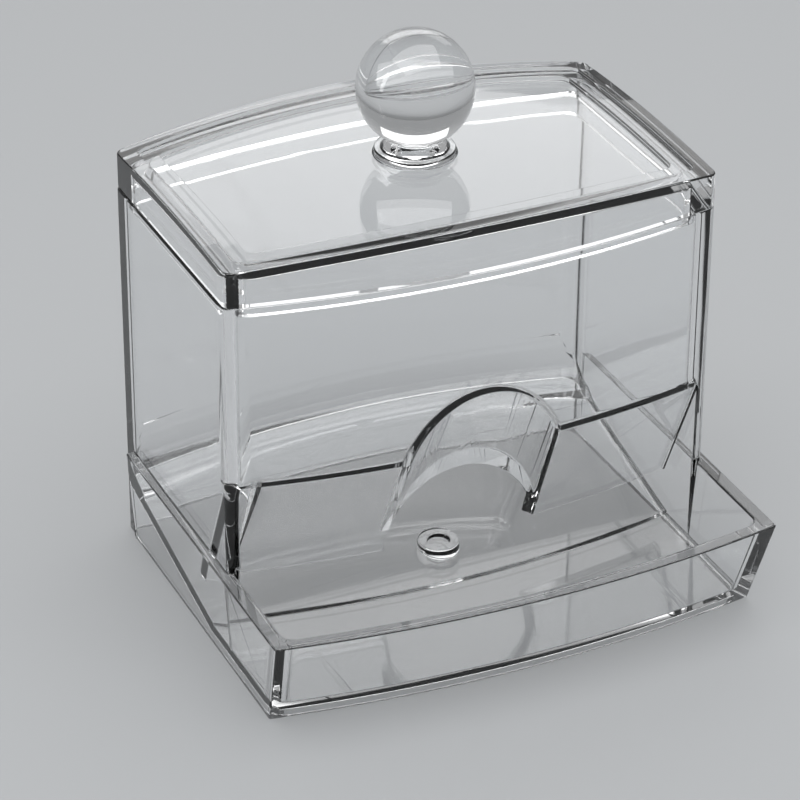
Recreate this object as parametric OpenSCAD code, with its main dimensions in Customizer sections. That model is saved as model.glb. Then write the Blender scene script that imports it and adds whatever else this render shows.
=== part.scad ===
// Clear cotton swab holder: a hopper with bowed front and back walls feeds a tray at its foot,
// and a lid with a ball knob closes the top. Millimetres, +Z up, +Y towards the back.
// The shapes are laid out around the middle of the hopper, and each node is then moved along Y,
// so that the origin lies under the middle of the whole holder.

/* [Hopper] */
// Width of the hopper, outside, from side to side
hopper_w = 85; // [76:0.5:100]
// Length of the hopper's straight side walls, front to back
hopper_side = 45.8; // [40:0.1:60]
// How far the front and back walls bow out in the middle
wall_bow = 5; // [3:0.1:8]
// Thickness of the hopper's walls, panel and hood
wall_t = 2; // [1.4:0.1:2.6]
// Height of the hopper's rim above the table
rim_z = 64.6; // [58:0.1:80]
// Radius of the hopper's upright corners, outside
corner_r = 1.5; // [0.8:0.1:3]
// Radius of the hopper's upright corners, inside
inner_corner_r = 3; // [1:0.1:5]

/* [Sloping panel and finger arch] */
// Height of the fold where the front wall turns into the sloping panel
fold_z = 32.5; // [29:0.1:40]
// How far back the sloping panel runs
panel_run = 9.5; // [7:0.1:12]
// Height of the sloping panel's lower edge
panel_foot_z = 11; // [9:0.1:14]
// Radius of the finger arch, seen from the front
arch_r = 13.6; // [10:0.1:16]
// Height of the arch's centre at the front wall
arch_z = 29.2; // [27:0.1:32]
// Height of the arch's centre at the hood's inner end
hood_end_z = 10.5; // [9:0.1:12]

/* [Ramp and floor] */
// Height of the tray's floor under the panel
floor_z = 3.6; // [2.6:0.1:5]
// Thickness of the floor and the ramp
floor_t = 2; // [1.2:0.1:2.5]
// Slope of the ramp, in degrees
ramp_angle = 14; // [8:0.5:18]
// Distance from the hopper's front corners back to the foot of the ramp
ramp_start = 8.4; // [4:0.1:12]
// Depth of the step down from the ramp to the tray's floor
floor_step = 0.5; // [0.2:0.1:0.9]
// Distance from the hopper's front face back to the step in the floor
floor_step_back = 7.9; // [5:0.1:9]
// Radius of the concave blend between the ramp and the back wall
blend_r = 8.1; // [3:0.1:9]
// Distance from the hopper's front corners back to the round nub on the ramp
nub_back = 12.4; // [10:0.1:20]
// Diameter of the nub
nub_d = 7; // [5:0.1:9]
// Height of the nub above the ramp
nub_h = 1; // [0.6:0.1:1.6]
// Diameter of the dimple in the nub
dimple_d = 3.7; // [2:0.1:4.5]
// Depth of the dimple
dimple_depth = 0.8; // [0.3:0.1:1.2]

/* [Tray] */
// Width of the tray at its rim
tray_w = 88; // [87:0.1:104]
// Width of the tray at its foot
tray_foot_w = 85.6; // [84:0.1:102]
// Height of the tray's rim
tray_rim_z = 17; // [14:0.1:22]
// Thickness of the tray's walls
tray_wall = 2.5; // [1.6:0.1:3]
// Reach of the tray's front corners beyond the hopper's front corners, at the rim
tray_reach = 22.4; // [18:0.1:32]
// How far the tray's front wall bows out in the middle
tray_bow = 4.1; // [2:0.1:7]
// How far the tray's front wall leans out between its foot and its rim
tray_lean = 5.9; // [3:0.1:8]
// Distance from the hopper's back corners forward to the end of the tray's side ledges
ledge_end = 4; // [2:0.1:12]

/* [Lid] */
// How far the lid's sides lie inside the hopper's sides
lid_side_inset = 0.2; // [0:0.1:0.5]
// How far the lid's front and back stand out past the hopper's
lid_end_over = 0.4; // [0:0.1:0.8]
// Gap between the hopper's rim and the lid, so that the faces only rest
lid_gap = 0.05; // [0.02:0.01:0.1]
// Height of the lid from its lower edge to the top of its dome
lid_h = 9.25; // [8:0.05:12]
// Radius of the lid's domed top
dome_r = 358; // [320:1:600]
// Radius of the lid's upright corners
lid_corner_r = 1.8; // [1:0.1:3]
// Width of the flat strip round the lid's top
strip_w = 2.9; // [2:0.1:4]
// Width of the step between the strip and the sunk panel
step_w = 2.9; // [2:0.1:4]
// Depth of the step below the dome
step_depth = 0.6; // [0.3:0.1:0.9]
// Depth of the sunk panel below the dome
panel_depth = 1.3; // [1:0.1:1.8]
// Thickness of the lid's top under the sunk panel
lid_top_t = 2; // [1.5:0.1:2.4]
// Height of the locating lip below the hopper's rim
lip_h = 2.6; // [1.5:0.1:5]
// Thickness of the locating lip
lip_t = 1.8; // [1.2:0.1:2.6]
// Gap between the locating lip and the hopper's inner faces
lip_gap = 0.3; // [0.1:0.05:0.6]

/* [Knob] */
// Diameter of the ball
ball_d = 19.1; // [15:0.1:24]
// Diameter of the neck where the ball meets its collar
neck_d = 9.4; // [7:0.1:11]
// Diameter of the collar's lower ring
collar_d = 13.2; // [12:0.1:18]
// Height of the collar's lower ring
collar_ring_h = 1.1; // [0.8:0.1:1.5]
// Diameter of the collar's waist above the ring
waist_d = 11; // [10:0.1:11.8]
// Height of the whole collar
collar_h = 3; // [2:0.1:4]
// Diameter of the peg under the collar
peg_d = 5; // [3:0.1:6]
// Gap between the peg and its hole in the lid, on the radius
peg_gap = 0.1; // [0.05:0.01:0.2]
// Depth of the round seat that the collar stands in
seat_depth = 0.15; // [0.1:0.05:0.4]
// Gap round the collar in its seat, on the radius
seat_gap = 0.1; // [0.05:0.01:0.3]

/* [Hidden] */

clear_plastic = [0.86, 0.91, 0.95];
small_fn = 96;
large_fn = 360;
sphere_fn = 300;
// Straight pieces that stand for the arch's ellipse, and for the blend's arc
arch_steps = 48;
blend_steps = 16;
// Overlap that cutting shapes run past a face, so that no skin is left
past = 1;

// Corners of the hopper, measured from its middle
side_y = hopper_side / 2;
side_x = hopper_w / 2;

// A bowed wall is an arc through the two corners and the bow between them
function bow_radius(half_w, bow) = (half_w * half_w + bow * bow) / (2 * bow);

// The hopper's front and back arcs have their centres behind and before its middle
arc_r = bow_radius(side_x, wall_bow);
arc_y = arc_r - side_y - wall_bow;

// Sloping panel: how steep it is, and how thick it is when cut level
panel_drop = fold_z - panel_foot_z;
panel_lean = atan(panel_run / panel_drop);
panel_level_t = wall_t / cos(panel_lean);
// The panel ends inside the side walls, clear of their round corners where these are small
panel_end_x = side_x - min(corner_r, 0.75 * wall_t);

// The arch's tunnel runs down along a slanted axis
hood_drop = arch_z - hood_end_z;
hood_lean = atan(panel_run / hood_drop);
hood_len = norm([panel_run, hood_drop]);

// Ramp: height of its upper face at a place y, and of the faces below floor and ramp
ramp_start_y = ramp_start - side_y;
floor_under_z = floor_z - floor_t;
ramp_level_t = floor_t / cos(ramp_angle);
ramp_under_start_y = ramp_start_y + (ramp_level_t - floor_t) / tan(ramp_angle);
function ramp_z(y) = floor_z + tan(ramp_angle) * (y - ramp_start_y);
function ramp_under_z(y) = ramp_z(y) - ramp_level_t;

// Blend between the ramp and the back wall, in the back arc's own radius and height
inner_arc_r = arc_r - wall_t;
blend_turn = 90 - ramp_angle;
ramp_back_z = ramp_z(inner_arc_r - arc_y);
blend_centre_z = ramp_back_z - tan(ramp_angle) * blend_r * (1 - cos(blend_turn)) + blend_r * sin(blend_turn);

// Tray: its front wall is a cone around an upright axis
tray_half = tray_w / 2;
tray_foot_half = tray_foot_w / 2;
tray_arc_r = bow_radius(tray_half, tray_bow);
tray_front_y = -side_y - tray_reach - tray_bow;
tray_axis_y = tray_front_y + tray_arc_r;
ledge_end_y = side_y - ledge_end;

// Lid: heights of its lower edge and of its dome, and the ball above it
lid_z = rim_z + lid_gap;
dome_z = lid_z + lid_h;
lid_under_depth = panel_depth + lid_top_t;
seat_z = dome_z - panel_depth - seat_depth;
ball_r = ball_d / 2;
ball_z = seat_z + collar_h + sqrt(ball_r * ball_r - neck_d * neck_d / 4);

// The whole holder reaches from the tray's front to the lid's back
lid_reach = side_y + lid_end_over + wall_bow;
middle_y = (-tray_front_y - lid_reach) / 2;
// Far enough to clear the whole holder
reach = 2 * tray_half;

// Flat outline with straight sides, bowed front and back and round corners. inset shrinks it.
module bowed_outline(half_w, half_side, bow, r, inset = 0) {
    big_r = bow_radius(half_w, bow);
    centre_y = big_r - half_side - bow;
    edge_r = big_r - inset;
    edge_x = half_w - inset;
    // Centre of the round corner that touches both the side and the arc
    corner_x = edge_x - r;
    corner_y = sqrt(pow(edge_r - r, 2) - corner_x * corner_x) - centre_y;
    // The arc's touching point, seen from the arc's own centre
    touch = edge_r / (edge_r - r);
    touch_x = corner_x * touch;
    touch_y = (corner_y + centre_y) * touch - centre_y;
    difference() {
        intersection() {
            square([2 * edge_x, 2 * (half_side + bow)], center = true);
            translate([0, centre_y]) circle(r = edge_r, $fn = large_fn);
            translate([0, -centre_y]) circle(r = edge_r, $fn = large_fn);
        }
        for (sx = [-1, 1], sy = [-1, 1])
            polygon([
                [sx * corner_x, sy * corner_y],
                [sx * (edge_x + past), sy * corner_y],
                [sx * (edge_x + past), sy * (touch_y + past)],
                [sx * touch_x, sy * (touch_y + past)],
                [sx * touch_x, sy * touch_y]
            ]);
    }
    for (sx = [-1, 1], sy = [-1, 1])
        translate([sx * corner_x, sy * corner_y]) circle(r = r, $fn = small_fn);
}

// Upright block with the hopper's outer outline, or its inner one, from the table up
module hopper_block(inset, r, top) {
    linear_extrude(top) bowed_outline(side_x, side_y, wall_bow, r, inset);
}

// Tray block, shrunk by inset, cut off behind back_y, from below the table to past its rim
module tray_block(inset, back_y, low, top) {
    slope = (tray_half - tray_foot_half) / tray_rim_z;
    lean = tray_lean / tray_rim_z;
    low_half = tray_foot_half + slope * low - inset;
    top_half = tray_foot_half + slope * top - inset;
    low_r = tray_arc_r - tray_lean + lean * low - inset;
    top_r = tray_arc_r - tray_lean + lean * top - inset;
    intersection() {
        translate([0, tray_axis_y, low])
            cylinder(h = top - low, r1 = low_r, r2 = top_r, $fn = large_fn);
        translate([0, back_y, 0])
            rotate([90, 0, 0])
                linear_extrude(reach)
                    polygon([[-low_half, low], [low_half, low], [top_half, top], [-top_half, top]]);
    }
}

// Everything inside the walls, above and below the floor alike
module inner_space() {
    translate([0, 0, -past]) hopper_block(wall_t, inner_corner_r, rim_z + 2 * past);
    // Between the side walls in front of the panel there is no front wall
    translate([-(side_x - wall_t), -(side_y + wall_bow), -past])
        cube([2 * (side_x - wall_t), side_y + wall_bow, fold_z + past]);
    tray_block(tray_wall, -side_y, -past, tray_rim_z + past);
}

// Bar across the whole holder with the given outline in Y and Z
module across(outline) {
    translate([-reach / 2, 0, 0])
        rotate([90, 0, 90])
            linear_extrude(reach) polygon(outline);
}

// All that lies above the floor and the ramp
module above_floor() {
    across([
        [-reach, floor_z],
        [ramp_start_y, floor_z],
        [reach, ramp_z(reach)],
        [reach, rim_z + reach],
        [-reach, rim_z + reach]
    ]);
}

// All that lies below the floor plate and the ramp plate
module below_floor() {
    across([
        [-reach, -2 * past],
        [-reach, floor_under_z],
        [ramp_under_start_y, floor_under_z],
        [reach, ramp_under_z(reach)],
        [reach, -2 * past]
    ]);
}

// Ring around the front arc's upright axis, from an outline in radius and height
module front_ring(outline) {
    translate([0, arc_y, 0]) rotate([0, 0, 180]) rotate_extrude($fn = large_fn) polygon(outline);
}

// The panel bends back at the fold, and its plate is joined to the front wall above
module sloping_panel() {
    join_z = fold_z + (panel_level_t - wall_t) * panel_drop / panel_run;
    lap_z = join_z + wall_t;
    intersection() {
        front_ring([
            [arc_r, lap_z],
            [arc_r, fold_z],
            [arc_r - panel_run, panel_foot_z],
            [arc_r - panel_run - panel_level_t, panel_foot_z],
            [arc_r - wall_t, join_z],
            [arc_r - wall_t, lap_z]
        ]);
        translate([-panel_end_x, -reach, 0]) cube([2 * panel_end_x, reach, rim_z]);
    }
}

// Bar with an elliptical top along the tunnel's slanted axis. The section is worked out so
// that the arch is a true circle when it is seen from the front.
module tunnel_bar(grow) {
    flat_r = arch_r + grow;
    high_r = arch_r * sin(hood_lean) + grow;
    top = [
        for (i = [0:arch_steps])
            [flat_r * cos(180 * i / arch_steps), high_r * sin(180 * i / arch_steps)]
    ];
    translate([0, -side_y - wall_bow, arch_z])
        rotate([hood_lean, 0, 0])
            translate([0, 0, -2 * hood_len])
                linear_extrude(3 * hood_len)
                    polygon(concat(top, [[-flat_r, -hood_len], [flat_r, -hood_len]]));
}

// The hood lies behind the panel's outer face, and the tunnel's space is cut out of it
module hood() {
    intersection() {
        tunnel_bar(wall_t);
        front_ring([
            [arc_r - panel_run, panel_foot_z],
            [arc_r, fold_z],
            [arc_r, rim_z],
            [arc_r - panel_run, rim_z]
        ]);
    }
}

// The tunnel's space, cut through the front wall, the panel and the hood
module tunnel_space() {
    intersection() {
        tunnel_bar(0);
        front_ring([
            [arc_r - panel_run - 2 * wall_t, panel_foot_z - past],
            [arc_r + wall_t, panel_foot_z - past],
            [arc_r + wall_t, rim_z],
            [arc_r - panel_run - 2 * wall_t, rim_z]
        ]);
    }
}

// Concave blend that follows the bowed back wall
module back_blend() {
    centre_r = inner_arc_r - blend_r;
    arc = [for (i = [0:blend_steps]) [
        centre_r + blend_r * cos(blend_turn * i / blend_steps),
        blend_centre_z - blend_r * sin(blend_turn * i / blend_steps)
    ]];
    last_point = arc[blend_steps];
    foot = last_point[1] - ramp_z(-side_y);
    intersection() {
        difference() {
            translate([0, -arc_y, 0])
                rotate_extrude($fn = large_fn)
                    polygon(concat(
                        [[inner_arc_r + wall_t / 2, blend_centre_z]],
                        arc,
                        [[last_point[0] - foot, last_point[1] - foot],
                         [inner_arc_r + wall_t / 2, last_point[1] - foot]]
                    ));
            below_floor();
        }
        translate([-(side_x - wall_t / 2), 0, 0]) cube([hopper_w - wall_t, reach, rim_z]);
    }
}

// Step down to the tray's floor, along an arc that follows the hopper's front
module floor_drop() {
    intersection() {
        difference() {
            inner_space();
            translate([0, arc_y, 0])
                cylinder(h = rim_z, r = arc_r - floor_step_back, $fn = large_fn);
        }
        translate([-reach / 2, -reach, floor_z - floor_step])
            cube([reach, reach - side_y + ramp_start, floor_step + past]);
    }
}

// Round nub on the ramp
module nub() {
    y = nub_back - side_y;
    translate([0, y, ramp_z(y) - floor_t / 2])
        cylinder(h = floor_t / 2 + nub_h, d = nub_d, $fn = small_fn);
}

module nub_dimple() {
    y = nub_back - side_y;
    translate([0, y, ramp_z(y) + nub_h - dimple_depth])
        cylinder(h = dimple_depth + past, d = dimple_d, $fn = small_fn);
}

// Hopper, sloping panel, hood, ramp and tray, moulded in one piece
module hopper_tray() {
    color(clear_plastic)
        translate([0, middle_y, 0])
            difference() {
                union() {
                    difference() {
                        union() {
                            hopper_block(0, corner_r, rim_z);
                            tray_block(0, ledge_end_y, 0, tray_rim_z);
                        }
                        intersection() {
                            inner_space();
                            above_floor();
                        }
                        intersection() {
                            inner_space();
                            below_floor();
                        }
                        floor_drop();
                    }
                    sloping_panel();
                    hood();
                    back_blend();
                    nub();
                }
                tunnel_space();
                nub_dimple();
            }
}

// The dome's ball, made smaller by depth
module dome_ball(depth) {
    translate([0, 0, dome_z - dome_r]) sphere(r = dome_r - depth, $fn = sphere_fn);
}

// Upright block with the lid's outline, shrunk by inset
module lid_block(inset, r, low, top) {
    translate([0, 0, low])
        linear_extrude(top - low)
            bowed_outline(side_x - lid_side_inset, side_y + lid_end_over, wall_bow, r, inset);
}

// Recess in the lid's top that follows the dome at the given depth
module lid_recess(inset, depth) {
    difference() {
        lid_block(inset, lid_corner_r, lid_z + lid_h / 2, dome_z + past);
        dome_ball(depth);
    }
}

// Domed lid with a stepped, sunk top, hollow below, with a lip that drops into the hopper
module lid() {
    lip_low_z = rim_z - lip_h;
    lip_inset = wall_t + lip_gap;
    color(clear_plastic)
        translate([0, middle_y, 0])
            difference() {
                union() {
                    intersection() {
                        lid_block(0, lid_corner_r, lid_z, dome_z + past);
                        dome_ball(0);
                    }
                    translate([0, 0, lip_low_z])
                        hopper_block(lip_inset, inner_corner_r, lid_z + past - lip_low_z);
                }
                intersection() {
                    translate([0, 0, lip_low_z - past])
                        hopper_block(lip_inset + lip_t, inner_corner_r, dome_z - lip_low_z);
                    dome_ball(lid_under_depth);
                }
                lid_recess(strip_w, step_depth);
                lid_recess(strip_w + step_w, panel_depth);
                translate([0, 0, seat_z]) cylinder(h = lid_h, d = collar_d + 2 * seat_gap, $fn = small_fn);
                translate([0, 0, lid_z]) cylinder(h = lid_h, d = peg_d + 2 * peg_gap, $fn = small_fn);
            }
}

// Ball on a stepped collar, with a peg that goes down through the lid's top
module ball_knob() {
    peg_len = lid_top_t - seat_depth;
    color(clear_plastic)
        translate([0, middle_y, 0]) {
            translate([0, 0, ball_z]) sphere(d = ball_d, $fn = small_fn);
            translate([0, 0, seat_z]) cylinder(h = collar_ring_h, d = collar_d, $fn = small_fn);
            translate([0, 0, seat_z + collar_ring_h])
                cylinder(h = collar_h - collar_ring_h, d1 = waist_d, d2 = neck_d, $fn = small_fn);
            translate([0, 0, seat_z - peg_len]) cylinder(h = peg_len, d = peg_d, $fn = small_fn);
        }
}

hopper_tray();
lid();
ball_knob();
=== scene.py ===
"""Clear plastic cotton swab holder, dressed for its studio picture.

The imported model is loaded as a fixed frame. Each moulding is then built again as a smooth mesh
with rounded edges, in metres and in the frame's own axes, and stands in for its CAD node.
"""

import logging
import math
from dataclasses import dataclass, field
from enum import Enum
from typing import Any, Iterable, Sequence

import bpy
import numpy as np
from mathutils import Matrix, Vector


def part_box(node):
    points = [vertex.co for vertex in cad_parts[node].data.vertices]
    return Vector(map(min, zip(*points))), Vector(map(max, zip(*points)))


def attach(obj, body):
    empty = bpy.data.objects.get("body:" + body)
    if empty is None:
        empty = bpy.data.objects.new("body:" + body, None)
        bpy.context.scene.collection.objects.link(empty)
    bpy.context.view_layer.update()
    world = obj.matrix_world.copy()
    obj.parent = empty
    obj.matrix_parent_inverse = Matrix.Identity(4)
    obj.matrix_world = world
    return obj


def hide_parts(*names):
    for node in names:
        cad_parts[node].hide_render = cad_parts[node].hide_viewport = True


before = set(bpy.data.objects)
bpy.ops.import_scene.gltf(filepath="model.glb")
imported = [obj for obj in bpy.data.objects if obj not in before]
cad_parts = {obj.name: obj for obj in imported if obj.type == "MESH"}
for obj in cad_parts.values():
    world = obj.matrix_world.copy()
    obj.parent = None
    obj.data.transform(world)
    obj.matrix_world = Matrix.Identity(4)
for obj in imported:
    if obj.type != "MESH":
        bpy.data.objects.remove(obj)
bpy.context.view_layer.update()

LOG = logging.getLogger("swab_holder")
MM = 0.001
ROOT_BODY = "root"
BOUNCES = 22

Plan = np.ndarray
Profile = Sequence[tuple[float, float]]


class Cut(Enum):
    """Ways to combine two solids."""

    JOIN = "UNION"
    CUT = "DIFFERENCE"
    KEEP = "INTERSECT"


# Shaping


def mesh_object(
    name: str, points: np.ndarray, faces: Iterable[Sequence[int]]
) -> bpy.types.Object:
    """Makes a linked mesh object from points and faces.

    Args:
        name: Name of the object and of its mesh.
        points: Array of points, three columns, in metres.
        faces: Corner numbers of each face, turned so that it points outwards.

    Returns:
        The new object, at the origin.
    """
    mesh = bpy.data.meshes.new(name)
    mesh.from_pydata([tuple(p) for p in points], [], [tuple(f) for f in faces])
    mesh.validate()
    mesh.update()
    made = bpy.data.objects.new(name, mesh)
    bpy.context.scene.collection.objects.link(made)
    return made


def loft(name: str, rings: Sequence[np.ndarray], closed: bool = False) -> bpy.types.Object:
    """Makes a solid through a row of rings that have as many points each.

    Args:
        name: Name of the object.
        rings: Each ring is an array of points that runs anticlockwise, seen from the far end.
        closed: True if the last ring joins the first, and False if flat caps end the row.

    Returns:
        The solid.
    """
    count = len(rings[0])
    points = np.vstack(rings)
    faces = []
    turns = len(rings) if closed else len(rings) - 1
    for i in range(turns):
        low, high = i * count, (i + 1) % len(rings) * count
        for j in range(count):
            k = (j + 1) % count
            faces.append((low + j, low + k, high + k, high + j))
    if not closed:
        faces.append(tuple(reversed(range(count))))
        faces.append(tuple((len(rings) - 1) * count + j for j in range(count)))
    return mesh_object(name, points, faces)


def at_height(plan: Plan, z: float) -> np.ndarray:
    """The plan outline lifted to one height."""
    return np.column_stack([plan, np.full(len(plan), z)])


def evaluated(piece: bpy.types.Object) -> bpy.types.Object:
    """Bakes the piece's modifiers into its mesh and removes them.

    Args:
        piece: Object whose modifiers are final.

    Returns:
        The same object, with a plain mesh.
    """
    bpy.context.view_layer.update()
    graph = bpy.context.evaluated_depsgraph_get()
    baked = bpy.data.meshes.new_from_object(piece.evaluated_get(graph), depsgraph=graph)
    old = piece.data
    piece.modifiers.clear()
    piece.data = baked
    bpy.data.meshes.remove(old)
    baked.name = piece.name
    return piece


def combine(base: bpy.types.Object, tool: bpy.types.Object, cut: Cut) -> bpy.types.Object:
    """Combines two solids, and uses the second one up.

    Args:
        base: Solid that is changed.
        tool: Solid that is joined, cut away or kept within.
        cut: Which of the three.

    Returns:
        The base.
    """
    step = base.modifiers.new("combine", "BOOLEAN")
    step.operation = cut.value
    step.solver = "MANIFOLD"
    step.object = tool
    evaluated(base)
    spent = tool.data
    bpy.data.objects.remove(tool)
    bpy.data.meshes.remove(spent)
    return base


def shared_places(
    half_length: float, spacing: float = 1.0 * MM, least: float = 0.2
) -> np.ndarray:
    """Places along X at which every bowed face has its points, so that faces meet without slivers.

    Args:
        half_length: Half of the stretch that they cover.
        spacing: Distance between them, apart from the first and the last.
        least: Shortest step at the ends, as a share of the spacing.

    Returns:
        The places, rising, with both ends.
    """
    count = math.floor(half_length / spacing - least)
    return np.concatenate([[-half_length], np.arange(-count, count + 1) * spacing, [half_length]])


@dataclass(frozen=True)
class BowedOutline:
    """Plan outline with straight sides, bowed front and back, and round corners.

    Attributes:
        half_width: Half of the width between the straight sides.
        half_side: Half of the straight sides' length, corner to corner.
        bow: How far front and back bow out in the middle.
        wall_steps: Segments along each bowed wall.
        corner_steps: Segments round each corner.
        side_steps: Segments along each straight side.
    """

    half_width: float
    half_side: float
    bow: float
    wall_steps: int = 72
    corner_steps: int = 8
    side_steps: int = 12

    @property
    def radius(self) -> float:
        """Radius of the bowed walls' outer faces."""
        return (self.half_width**2 + self.bow**2) / (2 * self.bow)

    @property
    def axis(self) -> float:
        """Distance from the middle to each bowed wall's own axis."""
        return self.radius - self.half_side - self.bow

    def plan(self, inset: float, corner: float, shared: bool = False) -> Plan:
        """Points of the outline, anticlockwise seen from above.

        Args:
            inset: How far the outline is shrunk.
            corner: Radius of the round corners.
            shared: True if the bowed walls' points lie at the places along X that all bowed
                faces share, and False if they are as many whatever the inset.

        Returns:
            Array of points with two columns.
        """
        edge_r = self.radius - inset
        edge_x = self.half_width - inset
        corner_x = edge_x - corner
        corner_y = math.sqrt((edge_r - corner) ** 2 - corner_x**2) - self.axis
        touch = math.atan2(corner_y + self.axis, corner_x)
        side = np.linspace(-corner_y, corner_y, self.side_steps + 1)[:-1]
        turn = np.linspace(0.0, touch, self.corner_steps + 1)[:-1]
        wall = np.linspace(touch, math.pi - touch, self.wall_steps + 1)[:-1]
        if shared:
            wall = np.arccos(shared_places(edge_r * math.cos(touch))[:0:-1] / edge_r)
        half = np.vstack(
            [
                np.column_stack([np.full(len(side), edge_x), side]),
                np.column_stack([corner_x + corner * np.cos(turn), corner_y + corner * np.sin(turn)]),
                np.column_stack([edge_r * np.cos(wall), edge_r * np.sin(wall) - self.axis]),
                np.column_stack(
                    [
                        -corner_x + corner * np.cos(math.pi - touch + turn),
                        corner_y + corner * np.sin(math.pi - touch + turn),
                    ]
                ),
            ]
        )
        return np.vstack([half, -half])


def bar_across(name: str, outline: Profile, places: Sequence[float]) -> bpy.types.Object:
    """Makes a straight bar along X.

    Args:
        name: Name of the object.
        outline: Points in Y and Z, anticlockwise seen from +X.
        places: Two or more places along X, rising.

    Returns:
        The bar.
    """
    flat = np.array(outline)
    rings = [np.column_stack([np.full(len(flat), x), flat]) for x in places]
    return loft(name, rings)


def bar_along_bow(
    name: str, outline: Profile, axis: float, side: int, half_width: float
) -> bpy.types.Object:
    """Makes a bar that follows a bowed wall.

    Args:
        name: Name of the object.
        outline: Points as distance from the wall's own axis and height, anticlockwise when the
            distance runs to the right and the height up.
        axis: Place of the wall's own axis in Y.
        side: -1 for the front wall and 1 for the back wall.
        half_width: Half of the bar's length along X.

    Returns:
        The bar.
    """
    flat = np.array(outline)
    rings = []
    for x in shared_places(half_width):
        y = axis + side * np.sqrt(flat[:, 0] ** 2 - x * x)
        ring = np.column_stack([np.full(len(flat), x), y, flat[:, 1]])
        rings.append(ring if side > 0 else ring[::-1])
    return loft(name, rings)


def pillar(
    name: str, centre: tuple[float, float], stations: Profile, steps: int = 48
) -> bpy.types.Object:
    """Makes a turned solid with an upright axis.

    Args:
        name: Name of the object.
        centre: Place of its axis in X and Y.
        stations: Radius and height of each ring, from the bottom up.
        steps: Points round each ring.

    Returns:
        The solid, with flat ends.
    """
    turn = np.linspace(0.0, 2 * math.pi, steps, endpoint=False)
    round_plan = np.column_stack([np.cos(turn), np.sin(turn)])
    return loft(name, [at_height(round_plan * r + np.array(centre), z) for r, z in stations])


def soften(
    piece: bpy.types.Object,
    width: float,
    least_turn: float = 18.0,
    crease: float = 40.0,
    merged: float = 0.004 * MM,
) -> bpy.types.Object:
    """Rounds the piece's sharp edges and sets its shading.

    Args:
        piece: Solid with sharp edges.
        width: How far back each edge is rounded, in metres.
        least_turn: Smallest angle between two faces that counts as an edge, in degrees.
        crease: Smallest angle that still shows as a crease when the edges are round, in degrees.
        merged: Points closer than this become one, in metres.

    Returns:
        The same object, with the rounding in its mesh.
    """
    merge = piece.modifiers.new("merge", "WELD")
    merge.merge_threshold = merged
    bevel = piece.modifiers.new("round edges", "BEVEL")
    bevel.limit_method = "ANGLE"
    bevel.angle_limit = math.radians(least_turn)
    bevel.width = width
    bevel.segments = 3
    bevel.use_clamp_overlap = False
    bevel.miter_outer = "MITER_ARC"
    bevel.face_strength_mode = "FSTR_ALL"
    evaluated(piece)
    piece.data.shade_smooth()
    piece.data.set_sharp_from_angle(angle=math.radians(crease))
    weigh = piece.modifiers.new("weigh normals", "WEIGHTED_NORMAL")
    weigh.mode = "FACE_AREA_WITH_ANGLE"
    weigh.use_face_influence = True
    weigh.keep_sharp = True
    return evaluated(piece)


# Finishes


class Maths:
    """A socket with numbers, so that the maths of nodes reads as Python maths."""

    def __init__(self, maker: "NodeMaker", socket: bpy.types.NodeSocket) -> None:
        """Keeps the socket and the maker that adds its nodes."""
        self.maker = maker
        self.socket = socket

    def _with(self, operation: str, first: "Number", second: "Number") -> "Maths":
        """Adds one Math node and returns its result."""
        node = self.maker.add("ShaderNodeMath", {"operation": operation}, {0: first, 1: second})
        return Maths(self.maker, node.outputs[0])

    def through(self, function: str, other: "Number" = 0.0) -> "Maths":
        """Result of a named function, such as SINE, FLOOR or MODULO."""
        return self._with(function, self, other)

    def __add__(self, other: "Number") -> "Maths":
        """Sum."""
        return self._with("ADD", self, other)

    __radd__ = __add__

    def __mul__(self, other: "Number") -> "Maths":
        """Product."""
        return self._with("MULTIPLY", self, other)

    __rmul__ = __mul__

    def __sub__(self, other: "Number") -> "Maths":
        """Difference."""
        return self._with("SUBTRACT", self, other)

    def __rsub__(self, other: "Number") -> "Maths":
        """Difference from a number on the left."""
        return self._with("SUBTRACT", other, self)

    def __truediv__(self, other: "Number") -> "Maths":
        """Quotient."""
        return self._with("DIVIDE", self, other)


Number = Maths | float


class NodeMaker:
    """Adds nodes to one node tree."""

    def __init__(self, tree: bpy.types.NodeTree) -> None:
        """Keeps the tree and empties it."""
        self.tree = tree
        tree.nodes.clear()

    def add(self, kind: str, settings: dict | None = None, values: dict | None = None) -> bpy.types.Node:
        """Adds one node.

        Args:
            kind: The node's type name.
            settings: Properties of the node, which are set first.
            values: Value, link or Maths for each input, by name or number.

        Returns:
            The new node.
        """
        node = self.tree.nodes.new(kind)
        for name, value in (settings or {}).items():
            setattr(node, name, value)
        for key, value in (values or {}).items():
            socket = node.inputs[key]
            if isinstance(value, Maths):
                value = value.socket
            if isinstance(value, bpy.types.NodeSocket):
                self.tree.links.new(value, socket)
            else:
                socket.default_value = value
        return node

    def maths(self, socket: bpy.types.NodeSocket) -> Maths:
        """Wraps a socket for maths."""
        return Maths(self, socket)


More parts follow.
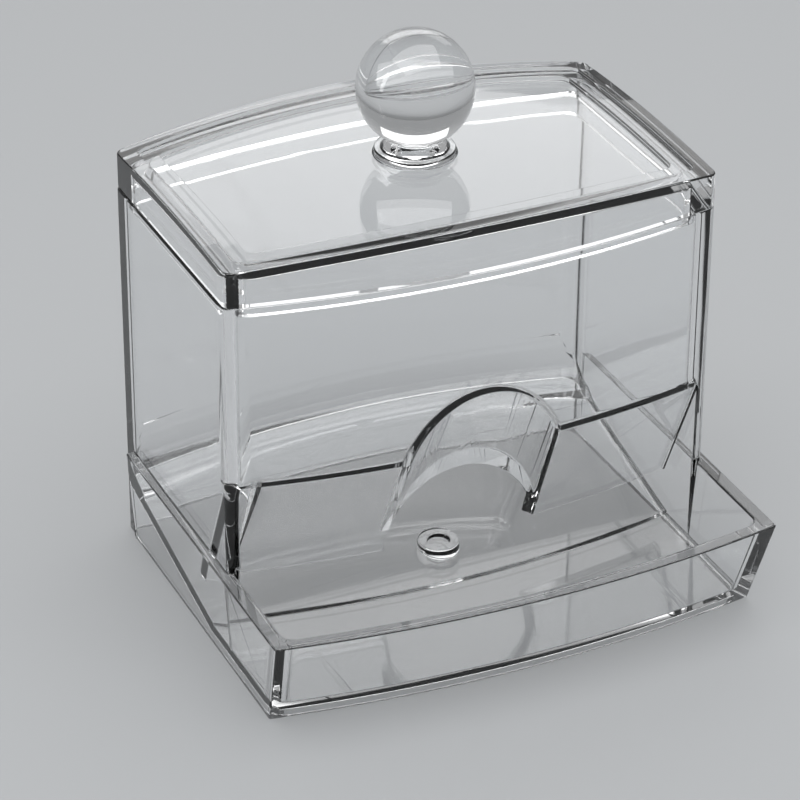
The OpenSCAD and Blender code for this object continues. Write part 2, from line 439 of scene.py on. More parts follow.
class TurnedTree:
    """Geometry Nodes that turn a stepped section, and a ball on top of it, round an upright axis."""

    INPUTS = {
        "Section": "NodeSocketGeometry",
        "Ball Radius": "NodeSocketFloat",
        "Ball Height": "NodeSocketFloat",
        "Neck Angle": "NodeSocketFloat",
        "Ball Rings": "NodeSocketInt",
        "Turn Steps": "NodeSocketInt",
        "Axis Place": "NodeSocketVector",
        "Plastic": "NodeSocketMaterial",
    }
    MERGE = 0.001 * MM

    def __init__(self, name: str) -> None:
        """Builds the tree.

        Args:
            name: Name of the tree.
        """
        self.tree = bpy.data.node_groups.new(name, "GeometryNodeTree")
        for label, kind in self.INPUTS.items():
            self.tree.interface.new_socket(label, in_out="INPUT", socket_type=kind)
        self.tree.interface.new_socket("Solid", in_out="OUTPUT", socket_type="NodeSocketGeometry")
        maker = NodeMaker(self.tree)
        given = maker.add("NodeGroupInput").outputs
        size = {label: maker.maths(given[label]) for label in self.INPUTS}
        counted = maker.add("GeometryNodeAttributeDomainSize", values={"Geometry": given["Section"]})
        stepped = maker.maths(counted.outputs["Point Count"])
        columns = size["Turn Steps"] + 1.0
        grid = maker.add(
            "GeometryNodeMeshGrid",
            values={"Vertices X": stepped + size["Ball Rings"] + 1.0, "Vertices Y": columns},
        )
        index = maker.maths(maker.add("GeometryNodeInputIndex").outputs[0])
        row = ((index + 0.5) / columns).through("FLOOR")
        angle = (index - row * columns) * (2 * math.pi) / size["Turn Steps"]
        neck = size["Neck Angle"]
        around = neck + (math.pi - neck) * (row - stepped) / size["Ball Rings"]
        place = maker.add("GeometryNodeInputPosition").outputs[0]
        sampled = maker.add(
            "GeometryNodeSampleIndex",
            {"data_type": "FLOAT_VECTOR", "clamp": True},
            {"Geometry": given["Section"], "Value": place, "Index": row},
        )
        section = maker.add("ShaderNodeSeparateXYZ", values={0: sampled.outputs[0]}).outputs
        in_ball = row.through("GREATER_THAN", stepped - 0.5)
        radius, height = (
            maker.maths(
                maker.add(
                    "GeometryNodeSwitch",
                    {"input_type": "FLOAT"},
                    {"Switch": in_ball, "False": section[axis], "True": rounded},
                ).outputs[0]
            )
            for axis, rounded in (
                ("X", size["Ball Radius"] * around.through("SINE")),
                ("Z", size["Ball Height"] - size["Ball Radius"] * around.through("COSINE")),
            )
        )
        turned = maker.add(
            "ShaderNodeCombineXYZ",
            values={
                "X": radius * angle.through("COSINE"),
                "Y": radius * angle.through("SINE"),
                "Z": height,
            },
        )
        placed = maker.add(
            "ShaderNodeVectorMath",
            {"operation": "ADD"},
            {0: turned.outputs[0], 1: given["Axis Place"]},
        )
        moved = maker.add(
            "GeometryNodeSetPosition",
            values={"Geometry": grid.outputs["Mesh"], "Position": placed.outputs[0]},
        )
        closed = maker.add(
            "GeometryNodeMergeByDistance",
            values={"Geometry": moved.outputs[0], "Distance": self.MERGE},
        )
        outward = maker.add("GeometryNodeFlipFaces", values={"Mesh": closed.outputs[0]})
        real = maker.add("GeometryNodeRealizeInstances", values={"Geometry": outward.outputs[0]})
        dressed = maker.add(
            "GeometryNodeSetMaterial", values={"Geometry": real.outputs[0], "Material": given["Plastic"]}
        )
        maker.add("NodeGroupOutput", values={"Solid": dressed.outputs[0]})

    def apply(self, piece: bpy.types.Object, sizes: dict[str, Any]) -> bpy.types.Object:
        """Turns the piece's section into the solid, as a plain mesh.

        Args:
            piece: Object whose mesh holds the section's points, from the bottom up.
            sizes: Value of each named input but the section.

        Returns:
            The same object.
        """
        turn = piece.modifiers.new("turned", "NODES")
        turn.node_group = self.tree
        for item in self.tree.interface.items_tree:
            if item.name in sizes:
                turn[item.identifier] = sizes[item.name]
        return evaluated(piece)


@dataclass(frozen=True)
class ClearPlastic:
    """Hard clear moulded plastic, polished, with the faint ripple that moulding leaves.

    Attributes:
        name: Name of the material.
        tint: Colour of what is seen through it.
        ior: Index of refraction.
        smooth: Roughness where the haze is thin.
        hazy: How much roughness the faint handling haze adds.
        clean: Haze noise up to which the plastic is clean.
        haze_scale: Patches of haze per metre.
        ripple: Height of the moulding ripple, in metres.
        ripple_scale: Ripples per metre.
        shade: Share of the lamps' light that each face lets through.
    """

    name: str
    tint: tuple[float, float, float] = (0.985, 0.99, 0.994)
    ior: float = 1.52
    smooth: float = 0.015
    hazy: float = 0.05
    clean: float = 0.3
    haze_scale: float = 90.0
    ripple: float = 0.06 * MM
    ripple_scale: float = 55.0
    shade: float = 0.93

    def material(self) -> bpy.types.Material:
        """Builds the material.

        Returns:
            A clear Principled material whose walls let lamps' light through.
        """
        made = bpy.data.materials.new(self.name)
        made.use_nodes = True
        maker = NodeMaker(made.node_tree)
        place = maker.add("ShaderNodeTexCoord").outputs["Object"]
        haze = maker.add(
            "ShaderNodeTexNoise",
            values={"Vector": place, "Scale": self.haze_scale, "Detail": 4.0, "Roughness": 0.6},
        )
        ripple = maker.add(
            "ShaderNodeTexNoise",
            values={"Vector": place, "Scale": self.ripple_scale, "Detail": 1.0, "Roughness": 0.4},
        )
        least = self.smooth - self.clean * self.hazy
        roughness = maker.maths(haze.outputs["Fac"]) * self.hazy + least
        bump = maker.add(
            "ShaderNodeBump",
            values={"Strength": 1.0, "Distance": self.ripple, "Height": ripple.outputs["Fac"]},
        )
        surface = maker.add(
            "ShaderNodeBsdfPrincipled",
            values={
                "Base Color": (*self.tint, 1.0),
                "Roughness": roughness,
                "IOR": self.ior,
                "Transmission Weight": 1.0,
                "Normal": bump.outputs["Normal"],
            },
        )
        lamps = maker.add("ShaderNodeBsdfTransparent", values={"Color": (self.shade,) * 3 + (1.0,)})
        path = maker.add("ShaderNodeLightPath")
        mixed = maker.add(
            "ShaderNodeMixShader",
            values={0: path.outputs["Is Shadow Ray"], 1: surface.outputs[0], 2: lamps.outputs[0]},
        )
        maker.add("ShaderNodeOutputMaterial", values={"Surface": mixed.outputs[0]})
        return made


# Mouldings


@dataclass
class Moulding:
    """One clear moulding that stands in for a CAD node.

    Attributes:
        node: Name of the CAD node.
        slot: Name of a material slot; not used.
        finish: Its plastic.
        edge: How far its edges are rounded, in metres.
    """

    node: str
    slot: str
    finish: ClearPlastic
    edge: float = 0.35 * MM

    def shape(self, plastic: bpy.types.Material) -> bpy.types.Object:
        """Builds the sharp-edged solid; each moulding has its own."""
        raise NotImplementedError

    def build(self) -> bpy.types.Object:
        """Shapes, rounds, dresses and places the moulding.

        Returns:
            The finished piece, riding on the root body.
        """
        plastic = self.finish.material()
        piece = soften(self.shape(plastic), self.edge)
        piece.data.materials.clear()
        piece.data.materials.append(plastic)
        piece.data.polygons.foreach_set("material_index", [0] * len(piece.data.polygons))
        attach(piece, ROOT_BODY)
        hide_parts(self.node)
        LOG.info("%s: %d faces", piece.name, len(piece.data.polygons))
        return piece


@dataclass(frozen=True)
class Layout:
    """Sizes that the mouldings share, in metres, around the middle of the hopper.

    Attributes:
        middle: Place of the hopper's middle along Y in the frame.
        rim: Height of the hopper's rim.
        half_width: Half of the hopper's width, outside.
        half_side: Half of the length of the hopper's side walls.
        bow: How far the hopper's front and back bow out.
        wall: Thickness of the hopper's walls.
    """

    middle: float
    rim: float
    half_width: float = 42.5 * MM
    half_side: float = 22.9 * MM
    bow: float = 5.0 * MM
    wall: float = 2.0 * MM

    @classmethod
    def from_frame(cls) -> "Layout":
        """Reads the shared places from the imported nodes."""
        knob_low, knob_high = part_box("ball_knob")
        _, body_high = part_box("hopper_tray")
        return cls(middle=(knob_low.y + knob_high.y) / 2, rim=body_high.z)

    @property
    def hopper(self) -> BowedOutline:
        """The hopper's outline."""
        return BowedOutline(self.half_width, self.half_side, self.bow)


@dataclass
class HopperTray(Moulding):
    """Hopper with its sloping panel, finger arch, ramp and tray, in one moulding.

    Attributes:
        layout: Shared sizes.
        corner: Radius of the hopper's upright corners, outside.
        inner_corner: The same, inside.
        fold: Height of the fold above the sloping panel.
        panel_run: How far back the panel runs.
        panel_foot: Height of the panel's lower edge.
        arch_radius: Radius of the finger arch, seen from the front.
        arch_height: Height of the arch's centre at the front wall.
        hood_height: Height of the arch's centre at the hood's inner end.
        floor: Height of the floor under the panel.
        plate: Thickness of the floor and the ramp.
        ramp_angle: Slope of the ramp, in degrees.
        ramp_start: From the hopper's front corners back to the ramp's foot.
        floor_step: Depth of the step at the ramp's foot.
        step_back: From the hopper's front face back to that step.
        blend: Radius of the concave blend between ramp and back wall.
        nub_back: From the hopper's front corners back to the nub.
        nub_radius: Radius of the nub.
        nub_height: Height of the nub above the ramp.
        dimple_radius: Radius of the nub's dimple.
        dimple_depth: Depth of the dimple.
        tray_rim: Height of the tray's rim.
        tray_half: Half of the tray's width at its rim.
        tray_foot_half: Half of the tray's width at its foot.
        tray_wall: Thickness of the tray's walls.
        tray_reach: Reach of the tray's front corners beyond the hopper's, at the rim.
        tray_bow: How far the tray's front bows out.
        tray_lean: How far the tray's front leans out from foot to rim.
        tray_corner: Radius of the tray's front corners, outside.
        tray_inner_corner: The same, inside.
        ledge_end: From the hopper's back corners forward to the end of the side ledges.
        past: How far cutting shapes run past a face.
    """

    layout: Layout = field(default=None)
    corner: float = 1.5 * MM
    inner_corner: float = 3.0 * MM
    fold: float = 32.5 * MM
    panel_run: float = 9.5 * MM
    panel_foot: float = 11.0 * MM
    arch_radius: float = 13.6 * MM
    arch_height: float = 29.2 * MM
    hood_height: float = 10.5 * MM
    floor: float = 3.6 * MM
    plate: float = 2.0 * MM
    ramp_angle: float = 14.0
    ramp_start: float = 8.4 * MM
    floor_step: float = 0.5 * MM
    step_back: float = 7.9 * MM
    blend: float = 8.1 * MM
    nub_back: float = 12.4 * MM
    nub_radius: float = 3.5 * MM
    nub_height: float = 1.0 * MM
    dimple_radius: float = 1.85 * MM
    dimple_depth: float = 0.8 * MM
    tray_rim: float = 17.0 * MM
    tray_half: float = 44.0 * MM
    tray_foot_half: float = 42.8 * MM
    tray_wall: float = 2.5 * MM
    tray_reach: float = 22.4 * MM
    tray_bow: float = 4.1 * MM
    tray_lean: float = 5.9 * MM
    tray_corner: float = 0.5 * MM
    tray_inner_corner: float = 2.2 * MM
    ledge_end: float = 4.0 * MM
    past: float = 1.0 * MM

    @property
    def ramp_slope(self) -> float:
        """Rise of the ramp for each metre back."""
        return math.tan(math.radians(self.ramp_angle))

    @property
    def ramp_foot(self) -> float:
        """Place of the ramp's foot along Y, from the hopper's middle."""
        return self.ramp_start - self.layout.half_side

    def ramp_height(self, y: float) -> float:
        """Height of the ramp's upper face."""
        return self.floor + self.ramp_slope * (y - self.ramp_foot)

    def prism(self, name: str, inset: float, corner: float, low: float, high: float) -> bpy.types.Object:
        """Upright block with the hopper's outline, shrunk by inset."""
        plan = self.layout.hopper.plan(inset, corner, shared=True)
        return loft(name, [at_height(plan, low), at_height(plan, high)])

    def tray_plan(
        self, inset: float, corner: float, back: float, z: float, steps: int = 72, turns: int = 8
    ) -> Plan:
        """Outline of the tray at one height.

        Args:
            inset: How far the outline is shrunk, but not at its back.
            corner: Radius of its front corners.
            back: Place of its straight back edge along Y.
            z: Height of the cut.
            steps: Segments along the bowed front.
            turns: Segments round each corner.

        Returns:
            Points, anticlockwise seen from above.
        """
        lip_r = (self.tray_half**2 + self.tray_bow**2) / (2 * self.tray_bow)
        share = z / self.tray_rim
        axis = lip_r - self.layout.half_side - self.tray_reach - self.tray_bow
        radius = lip_r - self.tray_lean * (1 - share) - inset
        half = self.tray_foot_half + (self.tray_half - self.tray_foot_half) * share - inset
        middle_x = half - corner
        middle_y = axis - math.sqrt((radius - corner) ** 2 - middle_x**2)
        touch = math.acos(middle_x / (radius - corner))
        round_part = np.linspace(-touch, 0.0, turns + 1)
        right = np.column_stack(
            [middle_x + corner * np.cos(round_part), middle_y + corner * np.sin(round_part)]
        )
        xs = np.linspace(-radius * math.cos(touch), radius * math.cos(touch), steps + 1)[1:-1]
        front = np.column_stack([xs, axis - np.sqrt(radius**2 - xs**2)])
        left = right[::-1] * (-1.0, 1.0)
        return np.vstack([left, front, right, [[half, back], [-half, back]]])

    def tray_block(
        self, name: str, inset: float, corner: float, back: float, low: float, high: float
    ) -> bpy.types.Object:
        """Flared block with the tray's outline."""
        rings = [at_height(self.tray_plan(inset, corner, back, z), z) for z in (low, high)]
        return loft(name, rings)

    def inner_space(self, name: str) -> bpy.types.Object:
        """Everything inside the walls, above and below the floor alike."""
        lay = self.layout
        half = lay.half_width - lay.wall
        front = -lay.half_side - lay.bow
        space = self.prism(name, lay.wall, self.inner_corner, -self.past, lay.rim + self.past)
        mouth = bar_across(
            "mouth",
            [(front, -self.past), (0.0, -self.past), (0.0, self.fold), (front, self.fold)],
            (-half, half),
        )
        combine(space, mouth, Cut.JOIN)
        back, top = -lay.half_side, self.tray_rim + self.past
        inset, corner = self.tray_wall, self.tray_inner_corner
        tray = self.tray_block("tray space", inset, corner, back, -self.past, top)
        return combine(space, tray, Cut.JOIN)

    def above_floor(self) -> bpy.types.Object:
        """All that lies above the ramp and the tray's floor, with the step between them."""
        lay = self.layout
        far = 2 * self.tray_half
        above = bar_across(
            "above",
            [
                (-far, self.floor),
                (self.ramp_foot, self.floor),
                (far, self.ramp_height(far)),
                (far, 2 * far),
                (-far, 2 * far),
            ],
            (-far, far),
        )
        low, high = self.floor - self.floor_step, self.floor + self.past
        edge = lay.hopper.radius - self.step_back
        outline = [(edge, low), (edge + far, low), (edge + far, high), (edge, high)]
        step = bar_along_bow("step", outline, lay.hopper.axis, -1, self.tray_half + self.past)
        return combine(above, step, Cut.JOIN)

    def below_floor(self, depth: float) -> bpy.types.Object:
        """All that lies further than depth below the floor and the ramp."""
        far = 2 * self.tray_half
        level = depth / math.cos(math.radians(self.ramp_angle))
        start = self.ramp_foot + (level - depth) / self.ramp_slope
        return bar_across(
            "below",
            [
                (-far, -far),
                (far, -far),
                (far, self.ramp_height(far) - level),
                (start, self.floor - depth),
                (-far, self.floor - depth),
            ],
            (-far, far),
        )

    def panel(self) -> bpy.types.Object:
        """Sloping panel below the fold."""
        lay = self.layout
        outer = lay.hopper.radius
        drop = self.fold - self.panel_foot
        level = lay.wall / math.cos(math.atan(self.panel_run / drop))
        join = self.fold + (level - lay.wall) * drop / self.panel_run
        core = outer - lay.wall / 2
        outline = [
            (outer - self.panel_run - level, self.panel_foot),
            (outer - self.panel_run, self.panel_foot),
            (outer, self.fold),
            (core, join + lay.wall),
            (outer - lay.wall, join),
        ]
        return bar_along_bow("panel", outline, lay.hopper.axis, -1, lay.half_width - self.corner)

    def tunnel_bar(self, name: str, grow: float, steps: int = 48) -> bpy.types.Object:
        """Slanted bar with a round top, a true circle when seen from the front.

        Args:
            name: Name of the object.
            grow: How much larger it is than the arch's own opening.
            steps: Segments round its top.

        Returns:
            The bar, along the hood's slanted axis.
        """
        lay = self.layout
        lean = math.atan(self.panel_run / (self.arch_height - self.hood_height))
        length = math.hypot(self.panel_run, self.arch_height - self.hood_height)
        turn = np.linspace(0.0, math.pi, steps + 1)
        flat = self.arch_radius + grow
        high = self.arch_radius * math.sin(lean) + grow
        across = np.concatenate([flat * np.cos(turn), [-flat, flat]])
        up = np.concatenate([high * np.sin(turn), [-length, -length]])
        start = np.array([0.0, -lay.half_side - lay.bow, self.arch_height])
        along = np.array([0.0, -math.sin(lean), math.cos(lean)])
        lift = np.array([0.0, math.cos(lean), math.sin(lean)])
        section = np.outer(across, [1.0, 0.0, 0.0]) + np.outer(up, lift) + start
        return loft(name, [section - 2 * length * along, section + length * along])

    def hood(self) -> bpy.types.Object:
        """Solid that the arch's tunnel is cut from, behind the panel's outer face."""
        lay = self.layout
        inner = lay.hopper.radius - self.panel_run
        core = lay.hopper.radius - lay.wall / 2
        outline = [
            (inner, self.panel_foot),
            (core, self.fold + lay.wall / 2),
            (core, lay.rim),
            (inner, lay.rim),
        ]
        limits = bar_along_bow("limits", outline, lay.hopper.axis, -1, lay.half_width - lay.wall)
        return combine(self.tunnel_bar("hood", lay.wall), limits, Cut.KEEP)

    def tunnel(self) -> bpy.types.Object:
        """Space under the hood, through the front wall and the panel."""
        lay = self.layout
        outer = lay.hopper.radius
        low = self.panel_foot - self.past
        near, far = outer - self.panel_run - 2 * lay.wall, outer + lay.wall
        outline = [(near, low), (far, low), (far, lay.rim), (near, lay.rim)]
        limits = bar_along_bow("limits", outline, lay.hopper.axis, -1, lay.half_width - lay.wall)
        return combine(self.tunnel_bar("tunnel", 0.0), limits, Cut.KEEP)

    def back_blend(self, steps: int = 16) -> bpy.types.Object:
        """Concave blend between the ramp and the bowed back wall."""
        lay = self.layout
        inner = lay.hopper.radius - lay.wall
        turn = math.radians(90 - self.ramp_angle)
        back = self.ramp_height(inner - lay.hopper.axis)
        centre = back - self.ramp_slope * self.blend * (1 - math.cos(turn)) + self.blend * math.sin(turn)
        arc = [
            (
                inner - self.blend + self.blend * math.cos(turn * i / steps),
                centre - self.blend * math.sin(turn * i / steps),
            )
            for i in range(steps + 1)
        ]
        last_r, last_z = arc[-1]
        foot = last_z - self.ramp_height(-lay.half_side)
        wall_r = inner + lay.wall / 2
        low = last_z - foot
        outline = [*arc, (last_r - foot, low), (wall_r, low), (wall_r, centre)]
        blend = bar_along_bow("blend", outline, -lay.hopper.axis, 1, lay.half_width - lay.wall / 2)
        return combine(blend, self.below_floor(self.plate / 2), Cut.CUT)

    def nub(self, radius: float, low: float, high: float) -> bpy.types.Object:
        """Upright round pin at the nub's place, between two heights above the ramp."""
        y = self.nub_back - self.layout.half_side
        base = self.ramp_height(y)
        return pillar("nub", (0.0, y), [(radius, base + low), (radius, base + high)])

    def shape(self, plastic: bpy.types.Material) -> bpy.types.Object:
        """Joins and cuts the moulding's parts.

        Args:
            plastic: The material, which is put on when the edges are round.

        Returns:
            The sharp-edged solid, moved to its place in the frame.
        """
        lay = self.layout
        body = self.prism("hopper_tray_clear", 0.0, self.corner, 0.0, lay.rim)
        ledge = lay.half_side - self.ledge_end
        tray = self.tray_block("tray", 0.0, self.tray_corner, ledge, 0.0, self.tray_rim)
        combine(body, tray, Cut.JOIN)
        upper = combine(self.inner_space("upper"), self.above_floor(), Cut.KEEP)
        combine(body, upper, Cut.CUT)
        lower = combine(self.inner_space("lower"), self.below_floor(self.plate), Cut.KEEP)
        combine(body, lower, Cut.CUT)
        for part in (self.panel(), self.hood(), self.back_blend()):
            combine(body, part, Cut.JOIN)
        combine(body, self.nub(self.nub_radius, -self.plate / 2, self.nub_height), Cut.JOIN)
        combine(body, self.tunnel(), Cut.CUT)
        sunk, above = self.nub_height - self.dimple_depth, self.nub_height + self.past
        combine(body, self.nub(self.dimple_radius, sunk, above), Cut.CUT)
        body.data.transform(Matrix.Translation((0.0, lay.middle, 0.0)))
        return body


@dataclass
class Lid(Moulding):
    """Domed lid with a stepped, sunk top and a locating lip.

    Attributes:
        layout: Shared sizes.
        side_inset: How far its sides lie inside the hopper's.
        end_over: How far its front and back stand out past the hopper's.
        gap: Gap between the hopper's rim and the lid.
        height: Height from its lower edge to the dome's top.
        dome_radius: Radius of the domed top.
        corner: Radius of its upright corners.
        strip: Width of the flat strip round its top.
        step: Width of the step inside the strip.
        step_depth: Depth of the step below the dome.
        panel_depth: Depth of the sunk panel below the dome.
        top: Thickness of its top under the sunk panel.
        lip_height: Height of the lip below the hopper's rim.
        lip: Thickness of the lip.
        lip_gap: Gap between the lip and the hopper's inner faces.
        lip_corner: Radius of the lip's upright corners.
        seat_radius: Radius of the knob's seat.
        seat_depth: Depth of the knob's seat.
        bore_radius: Radius of the hole for the knob's peg.
    """

    layout: Layout = field(default=None)
    side_inset: float = 0.2 * MM
    end_over: float = 0.4 * MM
    gap: float = 0.05 * MM
    height: float = 9.25 * MM
    dome_radius: float = 358.0 * MM
    corner: float = 1.8 * MM
    strip: float = 2.9 * MM
    step: float = 2.9 * MM
    step_depth: float = 0.6 * MM
    panel_depth: float = 1.3 * MM
    top: float = 2.0 * MM
    lip_height: float = 2.6 * MM
    lip: float = 1.8 * MM
    lip_gap: float = 0.3 * MM
    lip_corner: float = 3.0 * MM
    seat_radius: float = 6.7 * MM
    seat_depth: float = 0.15 * MM
    bore_radius: float = 2.6 * MM
    edge: float = 0.3 * MM

    def domed(self, plan: Plan, depth: float) -> np.ndarray:
        """The plan outline laid on the dome, sunk by depth."""
        centre = self.layout.rim + self.gap + self.height - self.dome_radius
        radius = self.dome_radius - depth
        z = centre + np.sqrt(radius**2 - (plan**2).sum(axis=1))
        return np.column_stack([plan, z])

    def shape(self, plastic: bpy.types.Material) -> bpy.types.Object:
        """Lays rings round the lid's section, out along its top and back below.

        Args:
            plastic: The material, which is put on when the edges are round.

        Returns:
            The sharp-edged solid, moved to its place in the frame.
        """
        lay = self.layout
        outline = BowedOutline(lay.half_width - self.side_inset, lay.half_side + self.end_over, lay.bow)
        outer = outline.plan(0.0, self.corner)
        strip = outline.plan(self.strip, self.corner)
        step = outline.plan(self.strip + self.step, self.corner)
        lip_out = lay.hopper.plan(lay.wall + self.lip_gap, self.lip_corner)
        lip_in = lay.hopper.plan(lay.wall + self.lip_gap + self.lip, self.lip_corner)
        angle = np.arctan2(outer[:, 1], outer[:, 0])
        circle = np.column_stack([np.cos(angle), np.sin(angle)])
        seat, bore = circle * self.seat_radius, circle * self.bore_radius
        under = self.panel_depth + self.top
        seat_z = lay.rim + self.gap + self.height - self.panel_depth - self.seat_depth
        lid_z = lay.rim + self.gap
        lip_z = lay.rim - self.lip_height
        spread = (0.25, 0.5, 0.75)
        rings = [
            at_height(lip_out, lip_z),
            at_height(lip_out, lid_z),
            at_height(outer, lid_z),
            self.domed(outer, 0.0),
            self.domed(strip, 0.0),
            self.domed(strip, self.step_depth),
            self.domed(step, self.step_depth),
            self.domed(step, self.panel_depth),
            *[self.domed(step * (1 - t) + seat * t, self.panel_depth) for t in spread],
            self.domed(seat, self.panel_depth),
            at_height(seat, seat_z),
            at_height(bore, seat_z),
            self.domed(bore, under),
            *[self.domed(bore * (1 - t) + lip_in * t, under) for t in spread],
            self.domed(lip_in, under),
            at_height(lip_in, lip_z),
        ]
        lid = loft("lid_clear", rings, closed=True)
        lid.data.transform(Matrix.Translation((0.0, lay.middle, 0.0)))
        return lid


@dataclass
class BallKnob(Moulding):
    """Solid ball on a stepped collar, with its peg.

    Attributes:
        layout: Shared sizes.
        radius: Radius of the ball.
        neck: Radius where the ball meets its collar.
        collar: Radius of the collar's lower ring.
        ring: Height of that ring.
        waist: Radius of the collar above the ring.
        collar_height: Height of the whole collar.
        peg: Radius of the peg.
        ball_rings: Rings of faces on the ball.
        turn_steps: Points round each ring.
    """

    layout: Layout = field(default=None)
    radius: float = 9.55 * MM
    neck: float = 4.7 * MM
    collar: float = 6.6 * MM
    ring: float = 1.1 * MM
    waist: float = 5.5 * MM
    collar_height: float = 3.0 * MM
    peg: float = 2.5 * MM
    ball_rings: int = 48
    turn_steps: int = 96
    edge: float = 0.25 * MM

    def shape(self, plastic: bpy.types.Material) -> bpy.types.Object:
        """Turns the knob's section round its upright axis.

        Args:
            plastic: The material that the tree puts on.

        Returns:
            The sharp-edged solid, in its place in the frame.
        """
        low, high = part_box(self.node)
        ball_z = high.z - self.radius
        neck_z = ball_z - math.sqrt(self.radius**2 - self.neck**2)
        seat_z = neck_z - self.collar_height
        section = [
            (0.0, 0.0, low.z),
            (self.peg, 0.0, low.z),
            (self.peg, 0.0, seat_z),
            (self.collar, 0.0, seat_z),
            (self.collar, 0.0, seat_z + self.ring),
            (self.waist, 0.0, seat_z + self.ring),
        ]
        sizes = {
            "Ball Radius": self.radius,
            "Ball Height": ball_z,
            "Neck Angle": math.asin(self.neck / self.radius),
            "Ball Rings": self.ball_rings,
            "Turn Steps": self.turn_steps,
            "Axis Place": (0.0, self.layout.middle, 0.0),
            "Plastic": plastic,
        }
        piece = mesh_object("ball_knob_clear", np.array(section), [])
        return TurnedTree("turned knob").apply(piece, sizes)


# Studio


@dataclass(frozen=True)
class Studio:
    """Plain pale floor, soft lamps and the sky.

    Attributes:
        floor_colour: Colour of the floor.
        floor_size: Half of the floor's side, in metres.
        sky_top: Colour of the light from above.
        sky_low: Colour of the light from the side.
        sky_strength: Strength of both.
        horizon: Height on the sky, as a share, up to which the side colour holds.
        zenith: The same, from which the top colour holds.
        aim_height: Height of the point that the lamps face, in metres.
    """

    floor_colour: tuple[float, float, float] = (0.37, 0.38, 0.39)
    floor_size: float = 3.0
    sky_top: tuple[float, float, float] = (1.0, 1.0, 1.0)
    sky_low: tuple[float, float, float] = (0.55, 0.56, 0.57)
    sky_strength: float = 0.5
    horizon: float = 0.15
    zenith: float = 0.75
    aim_height: float = 0.04

    def floor(self) -> bpy.types.Object:
        """Adds the floor."""
        half = self.floor_size
        corners = np.array([(x * half, y * half, 0.0) for x, y in ((-1, -1), (1, -1), (1, 1), (-1, 1))])
        floor = mesh_object("studio_floor", corners, [(0, 1, 2, 3)])
        made = bpy.data.materials.new("pale floor")
        made.use_nodes = True
        maker = NodeMaker(made.node_tree)
        surface = maker.add(
            "ShaderNodeBsdfPrincipled",
            values={"Base Color": (*self.floor_colour, 1.0), "Roughness": 0.6},
        )
        maker.add("ShaderNodeOutputMaterial", values={"Surface": surface.outputs[0]})
        floor.data.materials.append(made)
        return floor

    def sky(self) -> None:
        """Sets the world: brighter above, darker towards the sides."""
        world = bpy.data.worlds.new("studio")
        bpy.context.scene.world = world
        world.use_nodes = True
        maker = NodeMaker(world.node_tree)
        place = maker.add("ShaderNodeTexCoord").outputs["Generated"]
        parts = maker.add("ShaderNodeSeparateXYZ", values={0: place})
        ramp = maker.add("ShaderNodeValToRGB", values={0: parts.outputs["Z"]})
        first, last = ramp.color_ramp.elements[0], ramp.color_ramp.elements[1]
        first.position, first.color = self.horizon, (*self.sky_low, 1.0)
        last.position, last.color = self.zenith, (*self.sky_top, 1.0)
        light = maker.add(
            "ShaderNodeBackground",
            values={"Color": ramp.outputs["Color"], "Strength": self.sky_strength},
        )
        maker.add("ShaderNodeOutputWorld", values={"Surface": light.outputs[0]})

    def lamp(
        self,
        name: str,
        place: tuple[float, float, float],
        aim: Vector,
        size: tuple[float, float],
        watts: float,
    ) -> bpy.types.Object:
        """Adds one soft lamp.

        Args:
            name: Name of the lamp.
            place: Where it stands.
            aim: Point that it faces.
            size: Its width and height.
            watts: Its power.

        Returns:
            The lamp.
        """
        data = bpy.data.lights.new(name, "AREA")
        data.shape = "RECTANGLE"
        data.size, data.size_y = size
        data.energy = watts
        lamp = bpy.data.objects.new(name, data)
        lamp.location = place
        lamp.rotation_euler = (aim - Vector(place)).to_track_quat("-Z", "Y").to_euler()
        bpy.context.scene.collection.objects.link(lamp)
        return lamp

    def light(self) -> None:
        """Adds the lamps."""
        aim = Vector((0.0, 0.0, self.aim_height))
        self.lamp("overhead softbox", (0.0, -0.10, 0.85), aim, (1.15, 0.80), 8.0)
        self.lamp("back softbox", (0.36, 0.77, 0.50), aim, (1.1, 0.35), 1.3)
        self.lamp("left softbox", (-0.80, 0.05, 0.35), aim, (0.12, 0.50), 1.0)


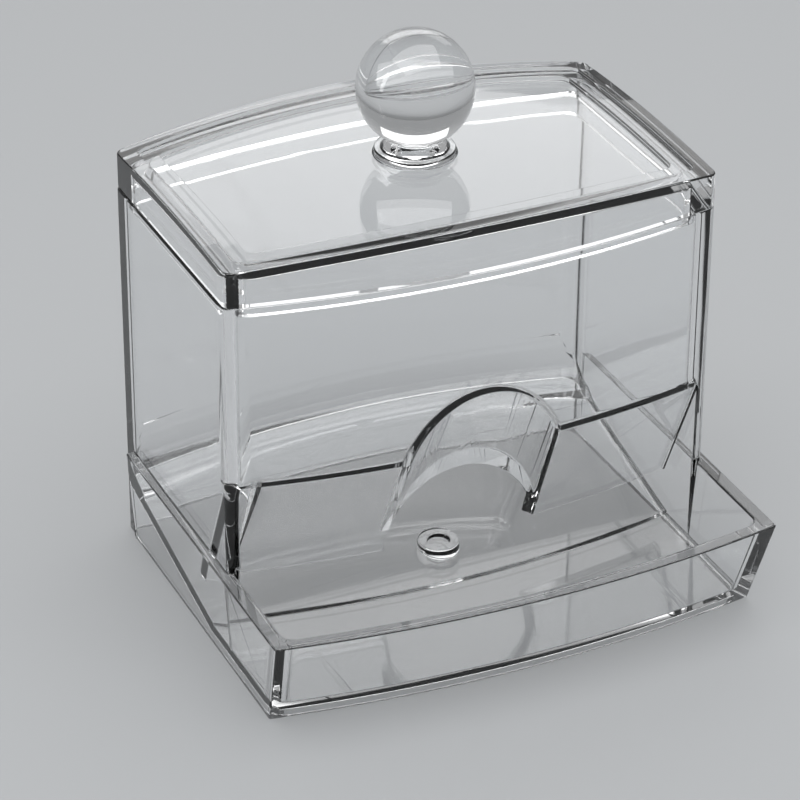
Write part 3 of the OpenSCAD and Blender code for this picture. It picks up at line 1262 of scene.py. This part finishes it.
@dataclass(frozen=True)
class PhotoCamera:
    """Camera at the photograph's viewing angle.

    Attributes:
        place: Where it stands, measured from the hopper's middle on the table.
        yaw: Turn about the upright axis, in degrees; 0 looks along +Y.
        pitch: Tilt below level, in degrees.
        roll: Turn about the line of sight, in degrees.
        lens: Focal length, for a sensor 36 mm wide.
    """

    place: tuple[float, float, float] = (-213.24 * MM, -457.23 * MM, 319.24 * MM)
    yaw: float = -24.76
    pitch: float = 30.10
    roll: float = 0.33
    lens: float = 158.37

    def add(self, middle: float) -> bpy.types.Object:
        """Adds the camera and makes it the scene's own.

        Args:
            middle: Place of the hopper's middle along Y in the frame.

        Returns:
            The camera.
        """
        data = bpy.data.cameras.new("photo camera")
        data.sensor_width = 36.0
        data.sensor_fit = "HORIZONTAL"
        data.lens = self.lens
        data.clip_start = 0.01
        camera = bpy.data.objects.new("photo camera", data)
        yaw, pitch, roll = (math.radians(a) for a in (self.yaw, self.pitch, self.roll))
        ahead = Vector(
            (-math.sin(yaw) * math.cos(pitch), math.cos(yaw) * math.cos(pitch), -math.sin(pitch))
        )
        right = Vector((math.cos(yaw), math.sin(yaw), 0.0))
        up = right.cross(ahead)
        tilted_right = math.cos(roll) * right + math.sin(roll) * up
        tilted_up = math.cos(roll) * up - math.sin(roll) * right
        turn = Matrix((tilted_right, tilted_up, -ahead)).transposed().to_4x4()
        x, y, z = self.place
        camera.matrix_world = Matrix.Translation((x, y + middle, z)) @ turn
        bpy.context.scene.collection.objects.link(camera)
        bpy.context.scene.camera = camera
        return camera


def main() -> None:
    """Builds the camera, the mouldings and the studio."""
    logging.basicConfig(level=logging.INFO, format="%(name)s: %(message)s")
    scene = bpy.context.scene
    scene.view_settings.view_transform = "Standard"
    scene.cycles.max_bounces = BOUNCES
    scene.cycles.transmission_bounces = BOUNCES
    scene.cycles.transparent_max_bounces = BOUNCES
    scene.cycles.caustics_reflective = False
    scene.cycles.caustics_refractive = False
    layout = Layout.from_frame()
    PhotoCamera().add(layout.middle)
    HopperTray("hopper_tray", "clear_body", ClearPlastic("clear_body"), layout=layout).build()
    Lid("lid", "clear_lid", ClearPlastic("clear_lid"), layout=layout).build()
    BallKnob("ball_knob", "clear_knob", ClearPlastic("clear_knob"), layout=layout).build()
    studio = Studio()
    studio.floor()
    studio.sky()
    studio.light()


if __name__ == "__main__":
    main()
